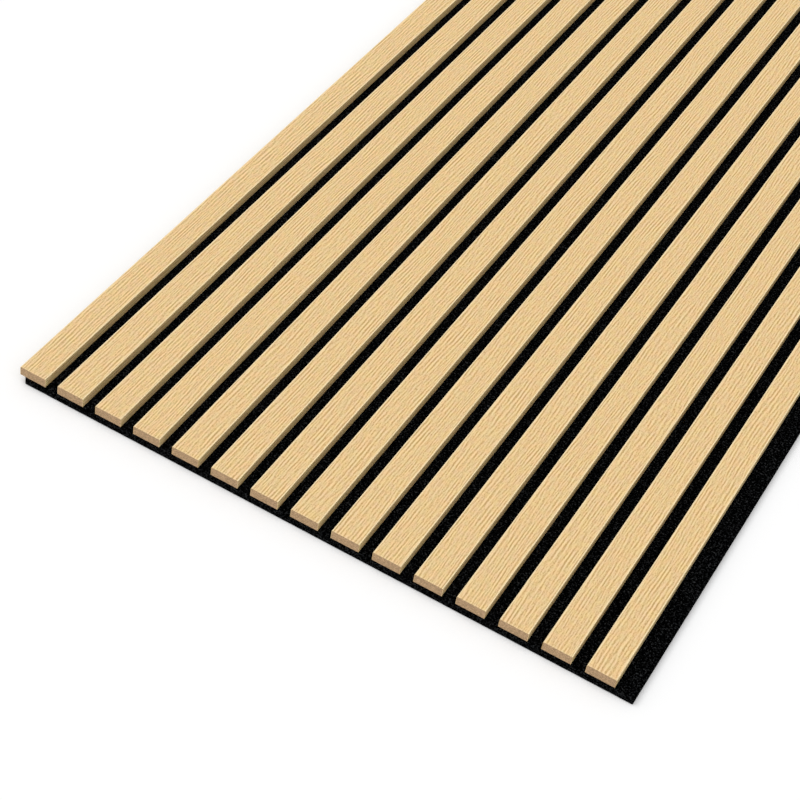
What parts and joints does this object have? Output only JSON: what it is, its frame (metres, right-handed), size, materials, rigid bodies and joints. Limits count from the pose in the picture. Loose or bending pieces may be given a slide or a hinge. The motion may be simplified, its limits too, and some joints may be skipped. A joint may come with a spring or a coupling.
{
  "type": "acoustic panel",
  "caption": "Flat wall panel of parallel oak-veneered slats glued on a black felt board, which damps echoes; panels butt side by side and keep the slat spacing.",
  "frame": {"origin": "centre of the felt board's back face", "axes": "+X across the slats towards the bare felt margin, +Y along the slats, +Z away from the wall, out through the slat faces"},
  "size_m": [0.605, 2.4, 0.0183],
  "materials": {
    "oak_veneer": "matt oiled oak",
    "fibreboard": "sawn raw board",
    "felt": "black needled felt"
  },
  "bodies": {
    "root": {"felt_backing": "felt", "slat_core_01": "fibreboard", "slat_core_02": "fibreboard", "slat_core_03": "fibreboard", "slat_core_04": "fibreboard", "slat_core_05": "fibreboard", "slat_core_06": "fibreboard", "slat_core_07": "fibreboard", "slat_core_08": "fibreboard", "slat_core_09": "fibreboard", "slat_core_10": "fibreboard", "slat_core_11": "fibreboard", "slat_core_12": "fibreboard", "slat_core_13": "fibreboard", "slat_core_14": "fibreboard", "slat_core_15": "fibreboard", "slat_veneer_01": "oak_veneer", "slat_veneer_02": "oak_veneer", "slat_veneer_03": "oak_veneer", "slat_veneer_04": "oak_veneer", "slat_veneer_05": "oak_veneer", "slat_veneer_06": "oak_veneer", "slat_veneer_07": "oak_veneer", "slat_veneer_08": "oak_veneer", "slat_veneer_09": "oak_veneer", "slat_veneer_10": "oak_veneer", "slat_veneer_11": "oak_veneer", "slat_veneer_12": "oak_veneer", "slat_veneer_13": "oak_veneer", "slat_veneer_14": "oak_veneer", "slat_veneer_15": "oak_veneer"}
  },
  "joints": []
}
